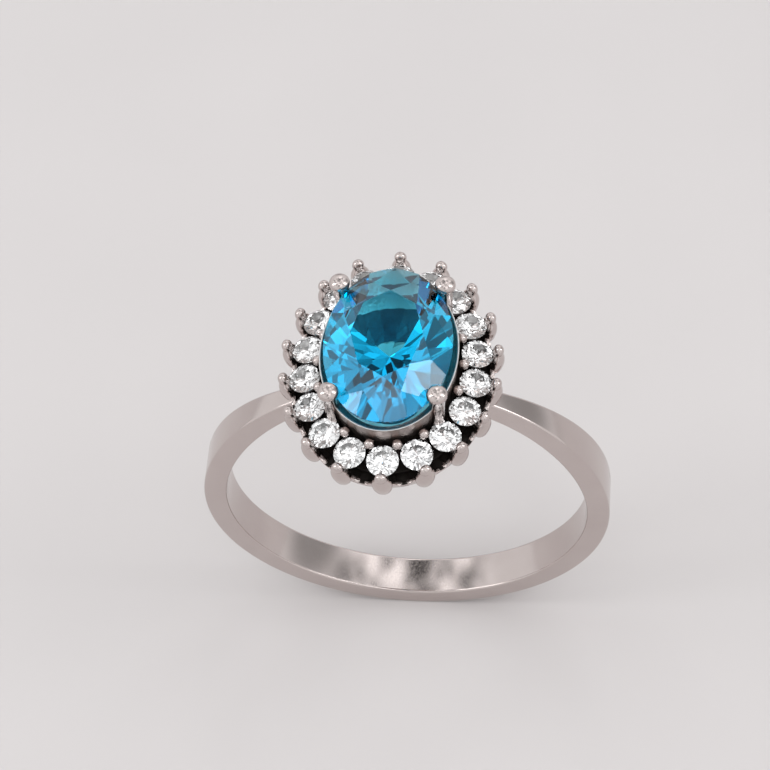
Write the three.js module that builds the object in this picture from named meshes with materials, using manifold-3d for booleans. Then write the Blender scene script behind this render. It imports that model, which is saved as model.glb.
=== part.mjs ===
// Cocktail ring: an oval centre stone in four claws, inside a halo of small round stones with
// beaded claws, on a slim band with square edges. Millimetres. The origin is the centre of the
// finger hole, +Y runs along the finger and +Z points from the finger to the centre stone.
import * as THREE from "three";
import { ConvexGeometry } from "three/addons/geometries/ConvexGeometry.js";
import { ParametricGeometry } from "three/addons/geometries/ParametricGeometry.js";
import { mergeVertices } from "three/addons/utils/BufferGeometryUtils.js";
import Module from "manifold-3d";

const wasm = await Module();
wasm.setup();

// Driving dimensions. An "offset" is measured outwards from the setting oval, which is the outline
// of the centre stone with a little room at its sides.
const fitGap = 0.02; // left at every soldered or seated joint
const band = {
  boreDiameter: 17.5, // finger hole
  thickness: 1.1,
  widthAtHead: 0.75,
  widthBelow: 2.0,
  taperFrom: 12, // degrees from the top where the band starts to widen
  taperTo: 80, // and where it has its full width
  softEdge: 0.14,
};
const centreStone = {
  width: 5.75,
  length: 8.1,
  sideRoom: 0.125, // between its widest points and the setting oval
  rise: 4.25, // middle of the girdle above the finger hole
  crown: 0.87,
  girdle: 0.16,
  pavilion: 2.57,
  table: 0.56, // share of the outline that the flat top takes
  star: 0.79, // share of the outline at the tips of the star facets
  starHeight: 0.56, // share of the crown height there
  lowerFacet: 0.3, // share of the outline where the lower girdle facets end
};
const haloStone = {
  count: 18,
  gap: 0.115, // between neighbouring stones
  innerGap: 0.17, // offset of the inner edge of the halo
  drop: 1.77, // its girdle below the girdle of the centre stone
  lean: 12, // degrees that each stone faces outwards
  crown: 0.2,
  girdle: 0.05,
  pavilion: 0.58,
  table: 0.58,
};
const collet = {
  offset: 0.12, // of the outer edge of the rim
  rimDrop: 0.5, // rim below the girdle of the centre stone
  wall: 0.42,
  lean: 6, // degrees that the wall flares outwards
  edge: 0.06, // flat on the top of the rim
  slope: 0.3, // drop from the rim to the inside of the wall
};
const centreClaw = {
  cornerAngle: 43, // degrees round the outline from its widest point
  offset: 0.22, // of the middle of the head
  lean: 3, // degrees that it leans outwards
  headHeight: 0.55, // rim of the head above the girdle
  headRadius: 0.5,
  dome: 0.3,
  wireRadius: 0.35,
  flare: 0.8, // length over which the wire widens into the head
};
const haloClaw = {
  outside: 0.19, // bead centre beyond the edge of its stone
  above: 0.31, // and above its girdle
  beadRadius: 0.285,
  length: 1.5, // from the bead centre to the foot
  bodyWidth: 0.93,
  bodyDepth: 0.78,
};
const innerBead = {
  colletGap: 0.03,
  radius: 0.24,
  postRadius: 0.17,
  above: 0.29, // bead centre above the halo girdle
};
const gallery = {
  drop: 1.03, // top of the plate below the halo girdle
  plate: 0.28,
  openingWidth: 1, // of the light hole under the centre stone
  openingLength: 1.6,
  edgeInset: 0.09, // foot of the rail inside the outer edge of the stones
  railWall: 0.22,
  railRise: 0.42, // rail above the plate
  scallopRadius: 0.62,
  scallopDepth: 0.38,
  scallopLength: 1.2, // of the cutter, across the rail
};
const seat = {
  topShare: 0.86, // cup radius as a share of the stone radius
  footShare: 0.6,
  ledge: 0.07, // cup rim below the girdle of its stone
  lightHole: 0.2, // radius of the hole under each stone
  railThickness: 0.2,
  railGap: 0.27, // between the low rail and the foot of the collet
  railWidth: 0.86,
};
const saddle = {
  galleryGap: 0.27, // between its top and the plate of the gallery
  innerOffset: -0.55,
  outerOffset: 0.45,
};

// Turned outlines from the foot up, as shares of a radius and of a height.
const headOutline = [[1, 0], [0.8, 0.6], [0.45, 0.9], [0, 1]]; // head radius, dome
const flareOutline = [[0, 1], [0.5, 0.45], [1, 0.15]]; // from wire to head radius, flare below the head
// of half the width, and of the length below the bead
const bodyOutline = [[0, 1], [0.6, 0.96], [0.9, 0.8], [1, 0.55], [0.92, 0.3]];
const beadOutline = [[1, 0], [0.72, 0.7], [0, 1]]; // bead radius for both
const beadNeck = [0.9, -0.6]; // where a halo claw's bead meets its body

// Facet counts of the curved surfaces.
const ovalSteps = 54;
const ovalSamples = 1440; // for measuring the way round
const bandSteps = 96;
const roundSides = 10;
const clawSides = 8;
const brilliantSides = 16;
const brilliantMains = 8;
const weldDistance = 1e-5;

const radians = THREE.MathUtils.degToRad;
const boreRadius = band.boreDiameter / 2;
const bandRadius = boreRadius + band.thickness;
const girdleZ = boreRadius + centreStone.rise;
const haloZ = girdleZ - haloStone.drop;
const plateTopZ = haloZ - gallery.drop;
const saddleRadius = plateTopZ - gallery.plate - saddle.galleryGap;
const rimZ = girdleZ - collet.rimDrop;
const colletOffsetAt = (z) => collet.offset - (rimZ - z) * Math.tan(radians(collet.lean));

// The setting oval, moved outwards by an offset.
class OffsetOval extends THREE.Curve {
  constructor(offset) {
    super();
    this.offset = offset;
    this.arcLengthDivisions = ovalSamples;
  }
  getPoint(share, target = new THREE.Vector3()) {
    const angle = 2 * Math.PI * share - Math.PI / 2;
    const halfWidth = centreStone.width / 2 + centreStone.sideRoom;
    const halfLength = centreStone.length / 2;
    const outward = new THREE.Vector2(
      Math.cos(angle) / halfWidth,
      Math.sin(angle) / halfLength,
    ).normalize();
    return target.set(
      halfWidth * Math.cos(angle) + this.offset * outward.x,
      halfLength * Math.sin(angle) + this.offset * outward.y,
      0,
    );
  }
}

// The round stones are as large as their count and gaps allow on the ring that they form.
const haloPitch =
  (new OffsetOval(0).getLength() + 2 * Math.PI * haloStone.innerGap) / haloStone.count;
const haloRadius =
  (haloPitch - haloStone.gap) / (1 - Math.PI / haloStone.count) / 2;
const haloOval = new OffsetOval(haloStone.innerGap + haloRadius);
const railOffset = haloOval.offset + haloRadius - gallery.edgeInset;
const headReach = 2 * centreStone.length; // past the head at both ends

function toSolid(geometry) {
  const bare = geometry.clone();
  bare.deleteAttribute("normal");
  bare.deleteAttribute("uv");
  const merged = mergeVertices(bare, weldDistance);
  return new wasm.Manifold(
    new wasm.Mesh({
      numProp: 3,
      vertProperties: merged.attributes.position.array,
      triVerts: new Uint32Array(merged.index.array),
    }),
  );
}

function toGeometry(solid) {
  const { vertProperties, triVerts } = solid.getMesh();
  const geometry = new THREE.BufferGeometry();
  geometry.setAttribute("position", new THREE.BufferAttribute(vertProperties, 3));
  geometry.setIndex(new THREE.BufferAttribute(triVerts, 1));
  const flat = geometry.toNonIndexed();
  flat.computeVertexNormals();
  return flat;
}

// A closed section, as [offset, height] points, swept round the oval.
function ovalRing(section, steps = ovalSteps) {
  const curves = section.map(([offset]) => new OffsetOval(offset));
  const surface = (along, across, target) => {
    const corner = Math.round(across * section.length) % section.length;
    curves[corner].getPoint(along, target);
    target.z = section[corner][1];
  };
  return toSolid(new ParametricGeometry(surface, steps, section.length));
}

function ovalFrame(inner, outer, bottom, top) {
  return ovalRing([
    [outer, bottom],
    [outer, top],
    [inner, top],
    [inner, bottom],
  ]);
}

// A full oval plate.
function ovalPlate(offset, bottom, top) {
  const outline = new OffsetOval(offset).getPoints(ovalSteps).slice(1);
  const shape = new THREE.Shape(outline.map(({ x, y }) => new THREE.Vector2(x, y)));
  const plate = new THREE.ExtrudeGeometry(shape, { depth: top - bottom, bevelEnabled: false });
  return toSolid(plate.translate(0, 0, bottom));
}

// A turned shape from [radius, height] points, standing on +Z.
function turned(profile, sides) {
  const points = profile.map(([radius, height]) => new THREE.Vector2(radius, height));
  return new THREE.LatheGeometry(points, sides).rotateX(Math.PI / 2);
}

function cylinderAlongY(radius, length) {
  return toSolid(new THREE.CylinderGeometry(radius, radius, length, bandSteps));
}

// The place of a halo unit: x outwards, y along the halo, z up and leaning outwards.
function unitFrame(share, lean = haloStone.lean) {
  const along = haloOval.getTangentAt(share);
  const outward = new THREE.Vector3(along.y, -along.x, 0);
  const up = new THREE.Vector3(0, 0, 1)
    .multiplyScalar(Math.cos(radians(lean)))
    .addScaledVector(outward, Math.sin(radians(lean)));
  const frame = new THREE.Matrix4().makeBasis(along.clone().cross(up), along, up);
  return frame.setPosition(haloOval.getPointAt(share).setZ(haloZ));
}

// Rings of points from the table down to the culet; the cut stone is their convex hull.
function brilliant(sides, halfWidth, halfLength, cut) {
  const rings = [
    { count: brilliantMains, turn: 0, share: cut.table, z: cut.girdle / 2 + cut.crown },
    { count: sides, turn: 0, share: 1, z: cut.girdle / 2 },
    { count: sides, turn: 0, share: 1, z: -cut.girdle / 2 },
  ];
  if (cut.star) {
    const starZ = cut.girdle / 2 + cut.crown * cut.starHeight;
    rings.push({ count: brilliantMains, turn: 0.5, share: cut.star, z: starZ });
    const lowerZ = -cut.girdle / 2 - cut.pavilion * (1 - cut.lowerFacet);
    rings.push({ count: brilliantMains, turn: 0.5, share: cut.lowerFacet, z: lowerZ });
  }
  const points = [new THREE.Vector3(0, 0, -cut.girdle / 2 - cut.pavilion)];
  for (const { count, turn, share, z } of rings) {
    for (let corner = 0; corner < count; corner++) {
      const angle = (2 * Math.PI * (corner + turn)) / count;
      const x = halfWidth * share * Math.cos(angle);
      points.push(new THREE.Vector3(x, halfLength * share * Math.sin(angle), z));
    }
  }
  return new ConvexGeometry(points);
}

const centreCut = brilliant(
  2 * brilliantSides,
  centreStone.width / 2,
  centreStone.length / 2,
  centreStone,
);
const haloCut = brilliant(brilliantSides, haloRadius, haloRadius, haloStone);

// A stone grown by the clearance, which cuts its own seat in the metal round it.
function seatCutter(cut, radius) {
  const grow = 1 + fitGap / radius;
  return cut.clone().scale(grow, grow, grow);
}

const centrePlace = new THREE.Matrix4().makeTranslation(0, 0, girdleZ);
const centreSeat = toSolid(
  seatCutter(centreCut, centreStone.width / 2).applyMatrix4(centrePlace),
);
const haloFrames = Array.from({ length: haloStone.count }, (_, i) =>
  unitFrame(i / haloStone.count),
);
const haloSeats = haloFrames.map((frame) =>
  toSolid(seatCutter(haloCut, haloRadius).applyMatrix4(frame)),
);
const allHaloSeats = wasm.Manifold.union(haloSeats);

// Where the rim of a centre claw's head is, and the way that its wire leans.
function centreClawLine(signX, signY) {
  const fromWidest = signY * centreClaw.cornerAngle;
  const share = 0.25 + (signX > 0 ? fromWidest : 180 - fromWidest) / 360;
  const head = new OffsetOval(centreClaw.offset).getPoint(share);
  const outward = head.clone().sub(new OffsetOval(0).getPoint(share)).normalize();
  head.setZ(girdleZ + centreClaw.headHeight);
  const axis = new THREE.Vector3(0, 0, 1).applyAxisAngle(
    new THREE.Vector3(-outward.y, outward.x, 0),
    radians(centreClaw.lean),
  );
  return { head, axis };
}

// A turned outline from the axis at its foot to the axis at its tip, widened all round.
function widened(outline, grow) {
  const tip = outline.length - 1;
  return outline.map(([radius, height], i) => {
    if (i === 0) return [radius, height - grow];
    return i === tip ? [radius, height + grow] : [radius + grow, height];
  });
}

// A wire with a domed head, its axis leaning out from the centre stone; "grow" widens it.
function centreClawShape(signX, signY, grow = 0) {
  const { headRadius, dome, wireRadius, flare } = centreClaw;
  const foot = centreClaw.headHeight + centreStone.rise;
  const outline = [
    [0, -foot],
    [wireRadius, -foot],
    ...flareOutline.map(([share, down]) => [
      THREE.MathUtils.lerp(wireRadius, headRadius, share),
      -down * flare,
    ]),
    ...headOutline.map(([across, up]) => [across * headRadius, up * dome]),
  ];
  const wire = turned(widened(outline, grow), roundSides);
  const { head, axis } = centreClawLine(signX, signY);
  const turn = new THREE.Quaternion().setFromUnitVectors(new THREE.Vector3(0, 0, 1), axis);
  wire.applyQuaternion(turn);
  return toSolid(wire.translate(head.x, head.y, head.z));
}

// A beaded claw: a full body that tapers to a ball over the edge of its stone.
function haloClawShape(frame, grow = 0) {
  const { beadRadius, bodyWidth, bodyDepth, length } = haloClaw;
  const outline = [
    ...bodyOutline.map(([across, down]) => [(across * bodyWidth) / 2, -down * length]),
    ...[beadNeck, ...beadOutline].map(([across, up]) => [across * beadRadius, up * beadRadius]),
  ];
  const claw = turned(widened(outline, grow), clawSides);
  claw.scale(bodyDepth / bodyWidth, 1, 1);
  claw.translate(haloRadius + haloClaw.outside, 0, haloClaw.above);
  return toSolid(claw.applyMatrix4(frame));
}

const clawCorners = [
  ["front_left", -1, -1],
  ["front_right", 1, -1],
  ["back_right", 1, 1],
  ["back_left", -1, 1],
];
const centreClawSpace = wasm.Manifold.union(
  clawCorners.map(([, signX, signY]) => centreClawShape(signX, signY, fitGap)),
);
const haloClawSpace = wasm.Manifold.union(
  haloFrames.map((frame) => haloClawShape(frame, fitGap)),
);

// The band narrows evenly towards the head. Its section is a rectangle with softened corners.
function bandWidth(fromTop) {
  const share = THREE.MathUtils.smoothstep(fromTop, radians(band.taperFrom), radians(band.taperTo));
  return THREE.MathUtils.lerp(band.widthAtHead, band.widthBelow, share);
}

function shank() {
  const { thickness, softEdge } = band;
  const corners = [
    [0, softEdge],
    [softEdge, 0],
    [thickness - softEdge, 0],
    [thickness, softEdge],
  ];
  const sectionCorners = 2 * corners.length;
  const surface = (along, across, target) => {
    const angle = 2 * Math.PI * along;
    const halfWidth = bandWidth(Math.min(angle, 2 * Math.PI - angle)) / 2;
    const corner = Math.round(across * sectionCorners) % sectionCorners;
    const mirrored = corner >= corners.length;
    const [height, inset] = corners[mirrored ? sectionCorners - 1 - corner : corner];
    const radius = boreRadius + height;
    const y = mirrored ? inset - halfWidth : halfWidth - inset;
    target.set(-radius * Math.sin(angle), y, radius * Math.cos(angle));
  };
  const hoop = toSolid(new ParametricGeometry(surface, bandSteps, sectionCorners));
  return hoop.subtract(ovalPlate(saddle.outerOffset + fitGap, 0, girdleZ));
}

// The oval frame that rides on the finger between the ends of the band.
function saddleFrame() {
  const { innerOffset, outerOffset } = saddle;
  const shell = cylinderAlongY(saddleRadius, headReach).subtract(
    cylinderAlongY(boreRadius, 2 * headReach),
  );
  return shell.intersect(ovalFrame(innerOffset, outerOffset, 0, bandRadius));
}

// A hole through seat and gallery that lets light reach the stone above it.
function lightHole(frame) {
  const { lightHole: radius } = seat;
  const depth = 2 * gallery.drop;
  const hole = turned([[0, -depth], [radius, -depth], [radius, 0], [0, 0]], clawSides);
  return toSolid(hole.applyMatrix4(frame));
}

// The plate under the stones with its upright, scalloped rail.
function galleryFrame() {
  const { plate, openingWidth, openingLength, railWall, railRise, scallopRadius } = gallery;
  const spread = railRise * Math.tan(radians(haloStone.lean));
  const bottom = plateTopZ - plate;
  const rail = ovalRing([
    [railOffset, bottom],
    [railOffset + spread, plateTopZ + railRise],
    [railOffset + spread - railWall, plateTopZ + railRise],
    [railOffset - railWall, plateTopZ],
    [railOffset - railWall, bottom],
  ]);
  const opening = new THREE.CylinderGeometry(
    openingWidth / 2,
    openingWidth / 2,
    2 * gallery.drop, // through the plate and past both its faces
    roundSides,
  );
  opening.rotateX(Math.PI / 2).scale(1, openingLength / openingWidth, 1);
  const holes = [toSolid(opening.translate(0, 0, bottom))];
  const scallopCentre = railRise - gallery.scallopDepth + scallopRadius - gallery.drop;
  for (let i = 0; i < haloStone.count; i++) {
    holes.push(lightHole(haloFrames[i]));
    const scallop = new THREE.CylinderGeometry(
      scallopRadius,
      scallopRadius,
      gallery.scallopLength,
      roundSides,
    );
    scallop.rotateZ(Math.PI / 2);
    scallop.translate(railOffset - haloOval.offset, 0, scallopCentre);
    holes.push(toSolid(scallop.applyMatrix4(unitFrame((i + 0.5) / haloStone.count, 0))));
  }
  const body = rail.add(ovalPlate(railOffset - railWall / 2, bottom, plateTopZ));
  return body.subtract(wasm.Manifold.union(holes));
}

// Cups under the round stones, joined by a low rail, with a bead between each pair.
function seatRing() {
  const footZ = plateTopZ + fitGap;
  const outside = haloRadius * seat.topShare;
  const inside = haloRadius * seat.footShare;
  const below = gallery.drop / Math.cos(radians(haloStone.lean)) + inside;
  const railInner = colletOffsetAt(footZ) + seat.railGap;
  const railTop = footZ + seat.railThickness;
  const pieces = [ovalFrame(railInner, railInner + seat.railWidth, footZ - fitGap, railTop)];
  const holes = [];
  for (let i = 0; i < haloStone.count; i++) {
    const cup = [[0, -below], [inside, -below], [outside, -seat.ledge], [0, -seat.ledge]];
    pieces.push(toSolid(turned(cup, roundSides).applyMatrix4(haloFrames[i])));
    holes.push(lightHole(haloFrames[i]));
    const bead = beadBetween((i + 0.5) / haloStone.count);
    if (bead) pieces.push(bead);
  }
  return wasm.Manifold.union(pieces)
    .subtract(wasm.Manifold.union(holes))
    .trimByPlane([0, 0, 1], footZ);
}

// A bead on its post, or nothing where a centre claw already stands in the gap.
function beadBetween(share) {
  const { radius, postRadius, above } = innerBead;
  const frame = unitFrame(share, 0);
  const inwards = colletOffsetAt(haloZ + above) + innerBead.colletGap + radius - haloOval.offset;
  const place = new THREE.Vector3(inwards, 0, above).applyMatrix4(frame);
  const crowded = clawCorners.some(([, signX, signY]) => {
    const { head, axis } = centreClawLine(signX, signY);
    const toAxis = new THREE.Ray(head, axis.negate()).distanceToPoint(place);
    return toAxis < radius + centreClaw.wireRadius;
  });
  if (crowded) return null;
  const outline = [
    [0, -gallery.drop],
    [postRadius, -gallery.drop],
    [postRadius, above - radius],
    ...beadOutline.map(([across, up]) => [across * radius, above + up * radius]),
  ];
  const post = turned(outline, clawSides);
  return toSolid(post.translate(inwards, 0, 0).applyMatrix4(frame));
}

// The polished oval wall under the centre stone.
function colletWall() {
  const bottom = plateTopZ + fitGap;
  const { offset, wall, edge, slope } = collet;
  const footOffset = colletOffsetAt(bottom);
  return ovalRing([
    [footOffset, bottom],
    [offset, rimZ],
    [offset - edge, rimZ],
    [offset - wall, rimZ - slope],
    [footOffset - wall, bottom],
  ]);
}

const silver = { color: 0xc9c4c0, roughness: 0.14, metalness: 1 };
const blueTopaz = { color: 0x18a8e0, roughness: 0.02, metalness: 0 };
const clearStone = { color: 0xeef2f6, roughness: 0.02, metalness: 0 };

const ring = new THREE.Group();

function addPiece(name, shape, finish) {
  const geometry = shape instanceof THREE.BufferGeometry ? shape : toGeometry(shape);
  const piece = new THREE.Mesh(geometry, new THREE.MeshStandardMaterial(finish));
  piece.name = name;
  ring.add(piece);
  return piece;
}

addPiece("shank", shank(), silver);
addPiece("saddle", saddleFrame(), silver);
addPiece("gallery", galleryFrame().subtract(centreClawSpace).subtract(haloClawSpace), silver);
addPiece(
  "seat_ring",
  seatRing().subtract(allHaloSeats).subtract(centreClawSpace).subtract(haloClawSpace),
  silver,
);
addPiece("centre_collet", colletWall().subtract(centreClawSpace), silver);

const saddleTop = cylinderAlongY(saddleRadius + fitGap, headReach);
for (const [corner, signX, signY] of clawCorners) {
  const claw = centreClawShape(signX, signY).subtract(saddleTop).subtract(centreSeat);
  addPiece(`centre_claw_${corner}`, claw.subtract(allHaloSeats), silver);
}
addPiece("centre_stone", centreCut, blueTopaz).applyMatrix4(centrePlace);

haloFrames.forEach((frame, i) => {
  const number = String(i + 1).padStart(2, "0");
  addPiece(`halo_claw_${number}`, haloClawShape(frame).subtract(haloSeats[i]), silver);
  addPiece(`halo_stone_${number}`, haloCut, clearStone).applyMatrix4(frame);
});

export default ring;
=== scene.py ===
# Cocktail ring: the looks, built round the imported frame. Sizes are in millimetres until a mesh is made.
import math

import bpy
from mathutils import Matrix, Vector


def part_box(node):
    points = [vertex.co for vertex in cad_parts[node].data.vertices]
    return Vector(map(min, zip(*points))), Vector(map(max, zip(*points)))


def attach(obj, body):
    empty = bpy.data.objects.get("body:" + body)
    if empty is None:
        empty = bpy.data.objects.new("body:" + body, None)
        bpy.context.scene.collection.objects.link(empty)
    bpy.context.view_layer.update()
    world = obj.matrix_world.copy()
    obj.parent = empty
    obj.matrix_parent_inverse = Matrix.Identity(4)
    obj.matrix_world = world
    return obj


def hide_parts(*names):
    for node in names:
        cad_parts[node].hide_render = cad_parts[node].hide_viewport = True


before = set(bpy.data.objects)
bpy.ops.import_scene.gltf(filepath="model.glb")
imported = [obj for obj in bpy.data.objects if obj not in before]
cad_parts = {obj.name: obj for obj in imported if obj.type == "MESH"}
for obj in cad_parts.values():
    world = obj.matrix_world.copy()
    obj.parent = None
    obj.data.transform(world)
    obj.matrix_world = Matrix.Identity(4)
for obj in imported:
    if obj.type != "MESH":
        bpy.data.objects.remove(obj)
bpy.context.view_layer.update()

mm = 0.001
scene = bpy.context.scene
body = "root"
tau = 2 * math.pi
nought = 1e-5  # mm, under which a length counts as nothing
cornerShare = 0.45  # of a section's side, the most that a rounded corner takes
sweepSteps = 720  # of the rail and of the path of the halo
plainSteps = 360  # of the other rings round the oval
beadAngles = (-0.35, 0.05, 0.45, 0.85, 1.2)  # radians above the middle of a bead, up to its pole


def linearColour(hexCode):
    # sRGB hex, as a designer picks it, to the linear numbers that shaders take
    channels = [int(hexCode[i:i + 2], 16) / 255 for i in (1, 3, 5)]
    return [c / 12.92 if c <= 0.04045 else ((c + 0.055) / 1.055) ** 2.4 for c in channels] + [1]


def addNode(tree, kind, settings=None, inputs=None):
    node = tree.nodes.new(kind)
    for name, value in (settings or {}).items():
        setattr(node, name, value)
    for name, value in (inputs or {}).items():
        if isinstance(value, bpy.types.NodeSocket):
            tree.links.new(value, node.inputs[name])
        else:
            node.inputs[name].default_value = value
    return node


def newMaterial(name):
    material = bpy.data.materials.new(name)
    material.use_nodes = True
    material.node_tree.nodes.clear()
    return material, material.node_tree


def newPiece(name, verts, faces, material, sharpAngle=32):
    # A mesh object at the origin, from points in millimetres
    mesh = bpy.data.meshes.new(name)
    mesh.from_pydata([Vector(v) * mm for v in verts], [], faces)
    mesh.validate()
    piece = bpy.data.objects.new(name, mesh)
    scene.collection.objects.link(piece)
    mesh.materials.append(material)
    softenShading(mesh, sharpAngle)
    return piece


def softenShading(mesh, sharpAngle):
    mesh.polygons.foreach_set("use_smooth", [sharpAngle > 0] * len(mesh.polygons))
    if sharpAngle > 0:
        mesh.set_sharp_from_angle(angle=math.radians(sharpAngle))


def refinish(piece, material, test):
    # Another finish for the faces that pass the test, by their centre in millimetres and their normal
    piece.data.materials.append(material)
    slot = len(piece.data.materials) - 1
    for face in piece.data.polygons:
        if test(face.center / mm, face.normal):
            face.material_index = slot


def settle(piece):
    # The evaluated shape becomes the piece's own plain mesh, and its modifiers go
    depsgraph = bpy.context.evaluated_depsgraph_get()
    mesh = bpy.data.meshes.new_from_object(piece.evaluated_get(depsgraph), depsgraph=depsgraph)
    mesh.name = piece.name
    piece.modifiers.clear()
    piece.data = mesh
    return piece


def finishPiece(piece, slot, *nodes):
    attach(piece, body)
    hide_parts(*nodes)
    print("piece", piece.name, len(piece.data.polygons), "faces")


def removeTool(tool):
    bpy.data.objects.remove(tool)


def carve(piece, *cutters, sharpAngle=40):
    # Takes the cutters' shapes out of the piece
    for cutter in cutters:
        cut = piece.modifiers.new("carve", "BOOLEAN")
        cut.object, cut.operation, cut.solver = cutter, "DIFFERENCE", "EXACT"
    settle(piece)
    softenShading(piece.data, sharpAngle)
    return piece


def smoothCurve(points, steps=6):
    # Catmull-Rom through the points; a point given twice stays a sharp corner
    path = [Vector(p) for p in points]
    ends = [path[0]] + path + [path[-1]]
    out = []
    for a, b, c, d in zip(ends, ends[1:], ends[2:], ends[3:]):
        if (b - c).length < nought:
            continue
        for i in range(steps):
            t = i / steps
            out.append(0.5 * (2 * b + (c - a) * t + (2 * a - 5 * b + 4 * c - d) * t * t
                              + (3 * b - a - 3 * c + d) * t ** 3))
    return out + [path[-1]]


def turned(profile, sides, place=Matrix(), flatten=1.0, steps=6):
    # A turned shape from (radius, height) points; where the radius is nought the pole is one point,
    # and a profile that ends where it starts closes on itself
    closed = profile[0] == profile[-1]
    points = profile[:-1] if closed else smoothCurve([(r, z) for r, z in profile], steps)
    verts, rings = [], []
    for r, z in points:
        if r < nought:
            rings.append([len(verts)] * sides)
            verts.append(place @ Vector((0, 0, z)))
            continue
        rings.append(range(len(verts), len(verts) + sides))
        for k in range(sides):
            angle = tau * k / sides
            verts.append(place @ Vector((flatten * r * math.cos(angle), r * math.sin(angle), z)))
    faces = []
    for low, high in zip(rings, rings[1:] + rings[:1] if closed else rings[1:]):
        for k in range(sides):
            n = (k + 1) % sides
            corners = [low[k], low[n], high[n], high[k]]
            faces.append([c for i, c in enumerate(corners) if c != corners[i - 1]])
    return verts, faces


def joined(*parts):
    verts, faces = [], []
    for partVerts, partFaces in parts:
        faces += [[i + len(verts) for i in face] for face in partFaces]
        verts += partVerts
    return verts, faces


# The oval that everything in the head follows
stoneLow, stoneHigh = (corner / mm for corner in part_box("centre_stone"))
fit = {"sideRoom": 0.125, "gap": 0.02}  # between stone and setting oval, and at seated joints
stoneHalfWidth = (stoneHigh.x - stoneLow.x) / 2
halfWidth = stoneHalfWidth + fit["sideRoom"]
halfLength = (stoneHigh.y - stoneLow.y) / 2
centreCut = {
    "crown": 0.87, "girdle": 0.16, "pavilion": 2.57,
    "table": 0.56, "starLength": 0.5, "lowerLength": 0.78,
}
girdleZ = stoneHigh.z - centreCut["crown"] - centreCut["girdle"] / 2
firstLow, firstHigh = (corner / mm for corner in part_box("halo_stone_01"))
haloOffset = -(firstLow.y + firstHigh.y) / 2 - halfLength  # from the outline of the centre stone
halo = {"count": 18, "drop": 1.77, "lean": 12}
haloZ = girdleZ - halo["drop"]
haloRadius = (firstHigh.x - firstLow.x) / 2


def ovalPoint(angle, offset):
    # A point at an even distance from the outline, and the way out from it
    outward = Vector((math.cos(angle) / halfWidth, math.sin(angle) / halfLength, 0)).normalized()
    return Vector((halfWidth * math.cos(angle), halfLength * math.sin(angle), 0)) + offset * outward, outward


def ovalRing(section, steps):
    # A closed section of (offset, height) points swept round the oval. An offset may be a function
    # that gives the point at an angle, and a height one that gives the height at a share of the way
    verts, faces = [], []
    count = len(section)
    for i in range(steps):
        angle = tau * i / steps - math.pi / 2
        for offset, height in section:
            point = offset(angle) if callable(offset) else ovalPoint(angle, offset)[0]
            verts.append(Vector((point.x, point.y, height(i / steps) if callable(height) else height)))
        for k in range(count):
            n, j = (k + 1) % count, (i + 1) % steps
            faces.append([i * count + k, j * count + k, j * count + n, i * count + n])
    return verts, faces


def roundedSection(corners, radius, steps=3):
    # Corners of a closed section, each replaced by a small arc
    out = []
    for i, corner in enumerate(corners):
        here, back, on = (Vector(p) for p in (corner, corners[i - 1], corners[(i + 1) % len(corners)]))
        toBack, toOn = (back - here), (on - here)
        size = min(radius, toBack.length * cornerShare, toOn.length * cornerShare)
        start, end = here + toBack.normalized() * size, here + toOn.normalized() * size
        for k in range(steps + 1):
            t = k / steps
            out.append(start.lerp(here, t).lerp(here.lerp(end, t), t))
    return out


def pathObject(name, offset, height):
    # A closed curve round the oval, for pieces that are spaced along it
    curve = bpy.data.curves.new(name, "CURVE")
    curve.dimensions = "3D"
    spline = curve.splines.new("POLY")
    spline.points.add(sweepSteps - 1)
    for i, point in enumerate(spline.points):
        place, _ = ovalPoint(tau * i / sweepSteps - math.pi / 2, offset)
        point.co = (place.x * mm, place.y * mm, height * mm, 1)
    spline.use_cyclic_u = True
    path = bpy.data.objects.new(name, curve)
    scene.collection.objects.link(path)
    return path


def rhodiumSilver(name, tint="#CFC5C2", shade="#C4B9B6", haze=0.15):
    # Sterling silver, rhodium plated and mirror polished: a hard bright reflection with a faint warm grey,
    # and the fine haze and wheel marks that polishing leaves; a caller's darker tint is painted shade, and a
    # brighter one painted light
    material, tree = newMaterial(name)
    coords = addNode(tree, "ShaderNodeTexCoord")
    cloud = addNode(tree, "ShaderNodeTexNoise", inputs={
        "Vector": coords.outputs["Object"], "Scale": 700, "Detail": 3})  # patches of about 1.4 mm
    wheel = addNode(tree, "ShaderNodeMapping", inputs={
        "Vector": coords.outputs["Object"], "Scale": (1, 1, 9)})
    # wheel marks about 0.1 mm apart, coarser than real
    marks = addNode(tree, "ShaderNodeTexNoise", inputs={
        "Vector": wheel.outputs[0], "Scale": 9000, "Detail": 2})
    colour = addNode(tree, "ShaderNodeMix", {"data_type": "RGBA"}, {
        "Factor": cloud.outputs["Fac"], "A": linearColour(tint), "B": linearColour(shade)})
    rough = addNode(tree, "ShaderNodeMapRange", inputs={
        "Value": marks.outputs["Fac"], "From Min": 0.3, "From Max": 0.7,
        "To Min": haze * 0.7, "To Max": haze * 1.4})
    bump = addNode(tree, "ShaderNodeBump", inputs={
        "Height": marks.outputs["Fac"], "Strength": 0.02, "Distance": 0.00002})
    surface = addNode(tree, "ShaderNodeBsdfPrincipled", inputs={
        "Base Color": colour.outputs["Result"], "Metallic": 1, "Roughness": rough.outputs["Result"],
        "Normal": bump.outputs["Normal"]})
    addNode(tree, "ShaderNodeOutputMaterial", inputs={"Surface": surface.outputs[0]})
    return material


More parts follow.
